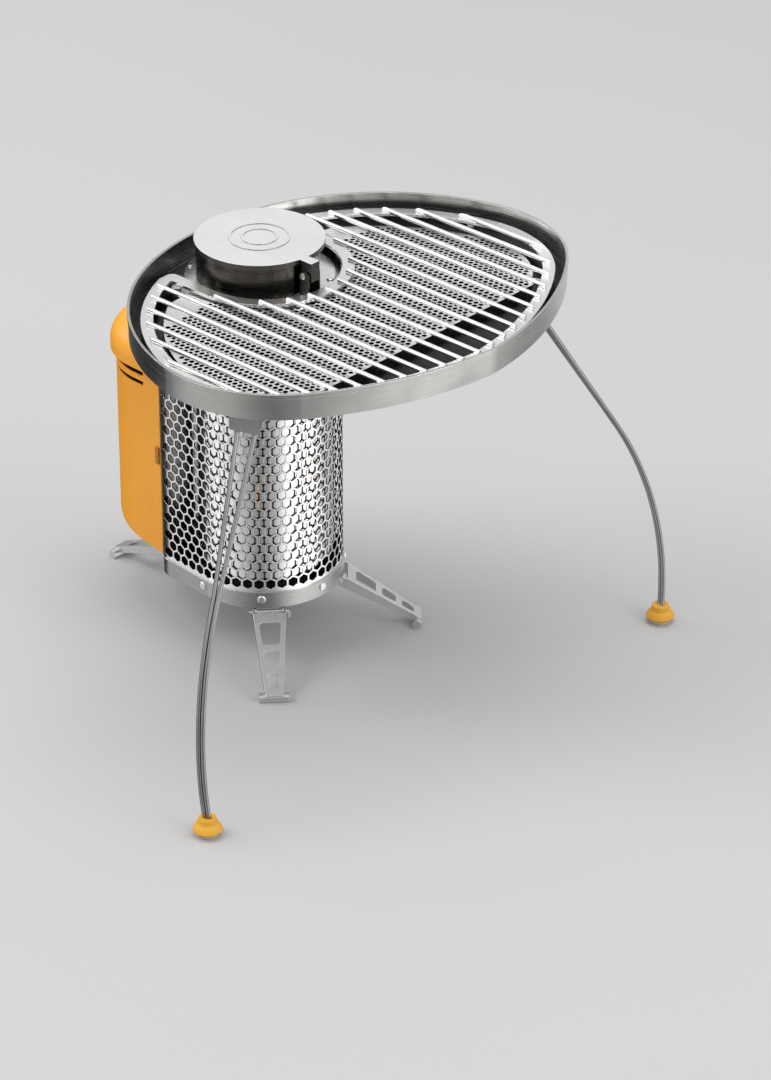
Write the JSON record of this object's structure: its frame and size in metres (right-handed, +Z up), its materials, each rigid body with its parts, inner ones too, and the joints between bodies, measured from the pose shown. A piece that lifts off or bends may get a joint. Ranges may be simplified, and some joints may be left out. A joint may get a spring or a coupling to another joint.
{
  "type": "wood-burning camp stove with grill",
  "caption": "Portable wood-burning camp stove on folding legs, with a clip-on fan unit and a lift-off grill with its own fold-out wire legs and fuel lid.",
  "frame": {"origin": "middle of the footprint of the standing object, on the ground", "axes": "+Z up, +X towards the far, blunt end of the grill, +Y across it"},
  "size_m": [0.3424, 0.4108, 0.2872],
  "materials": {
    "mesh_steel": "bright perforated sheet",
    "satin_steel": "satin",
    "chamber_steel": "heat-darkened",
    "bright_steel": "bright satin",
    "wire_steel": "drawn wire, satin",
    "foot_rubber": "matt amber",
    "orange_plastic": "fine matt texture",
    "dark_plastic": "matt",
    "aluminium": "extruded",
    "probe_metal": "dull copper tone",
    "ceramic": "white ceramic tile",
    "motor_metal": "plated",
    "battery_wrap": "shrink wrap",
    "board": "solder mask"
  },
  "bodies": {
    "stove": {"base_ring": "satin_steel", "base_floor": "satin_steel", "base_rivets": "satin_steel", "mesh_shell": "mesh_steel", "jacket": "chamber_steel", "burn_chamber": "chamber_steel", "chamber_plate": "chamber_steel", "chamber_stand": "chamber_steel", "top_ring": "satin_steel", "leg_brackets": "satin_steel", "leg_pins": "satin_steel"},
    "front_leg_right": {"stove_leg_right": "satin_steel"},
    "front_leg_left": {"stove_leg_left": "satin_steel"},
    "rear_leg": {"stove_leg_rear": "satin_steel"},
    "grill": {"pan": "satin_steel", "pan_collar": "satin_steel", "hub_plate": "bright_steel", "hub_rivets": "bright_steel", "hub_shroud": "chamber_steel", "lid_ears": "bright_steel", "lid_pin": "bright_steel", "diffuser": "bright_steel", "diffuser_posts": "bright_steel", "grate_rests": "bright_steel", "wire_leg_bracket_left": "satin_steel", "wire_leg_bracket_right": "satin_steel", "bracket_rivets": "satin_steel"},
    "grate": {"grate_frame": "bright_steel", "grate_rods": "bright_steel"},
    "lid": {"fuel_lid": "bright_steel"},
    "grill_leg_right": {"wire_leg_right": "wire_steel", "wire_leg_foot_right": "foot_rubber"},
    "grill_leg_left": {"wire_leg_left": "wire_steel", "wire_leg_foot_left": "foot_rubber"},
    "power_unit": {"module_frame": "orange_plastic", "module_shell": "orange_plastic", "module_cap": "orange_plastic", "module_catches": "dark_plastic", "module_plate": "satin_steel", "module_screws": "satin_steel", "heat_probe": "probe_metal", "thermo_plate": "ceramic", "heat_sink": "aluminium", "air_nozzle": "aluminium", "fan_duct": "dark_plastic", "fan_motor": "motor_metal", "battery": "battery_wrap", "circuit_board": "board", "button_switch": "dark_plastic", "charging_socket": "motor_metal"},
    "fan_rotor": {"fan": "dark_plastic", "fan_shaft": "motor_metal"},
    "button": {"power_button": "dark_plastic"}
  },
  "joints": [
    {"name": "front_leg_right_fold", "type": "hinge", "parent": "stove", "child": "front_leg_right", "pos_m": [0.00482, -0.02033, 0.038], "axis": [0.6794, 0.7337, 0], "range_deg": [0, 145]},
    {"name": "front_leg_left_fold", "type": "hinge", "parent": "stove", "child": "front_leg_left", "pos_m": [0.00482, 0.04829, 0.038], "axis": [-0.6794, 0.7337, 0], "range_deg": [0, 127]},
    {"name": "rear_leg_fold", "type": "hinge", "parent": "stove", "child": "rear_leg", "pos_m": [-0.08273, 0.01398, 0.038], "axis": [0, -1, 0], "range_deg": [0, 118]},
    {"name": "grill_lift", "type": "slide", "parent": "stove", "child": "grill", "axis": [0, 0, 1], "range_m": [0, 0.04]},
    {"name": "grate_lift", "type": "slide", "parent": "grill", "child": "grate", "axis": [0.4819, 0, 0.8762], "range_m": [0, 0.034]},
    {"name": "lid_hinge", "type": "hinge", "parent": "grill", "child": "lid", "pos_m": [0.01377, 0.01098, 0.277], "axis": [0, 1, 0], "range_deg": [0, 90]},
    {"name": "grill_leg_right_fold", "type": "hinge", "parent": "grill", "child": "grill_leg_right", "pos_m": [0.07877, -0.11202, 0.242], "axis": [0.9511, 0.309, 0], "range_deg": [0, 110]},
    {"name": "grill_leg_left_fold", "type": "hinge", "parent": "grill", "child": "grill_leg_left", "pos_m": [0.07877, 0.13998, 0.242], "axis": [-0.9511, 0.309, 0], "range_deg": [0, 104]},
    {"name": "power_unit_slide", "type": "slide", "parent": "stove", "child": "power_unit", "axis": [-1, 0, 0], "range_m": [0, 0.06]},
    {"name": "fan_spin", "type": "hinge", "parent": "power_unit", "child": "fan_rotor", "pos_m": [-0.09823, 0.01398, 0.118], "axis": [1, 0, 0], "continuous": true},
    {"name": "button_press", "type": "slide", "parent": "power_unit", "child": "button", "axis": [1, 0, 0], "range_m": [0, 0.0012], "stiffness_N_per_m": 300, "springref_m": -0.001}
  ]
}
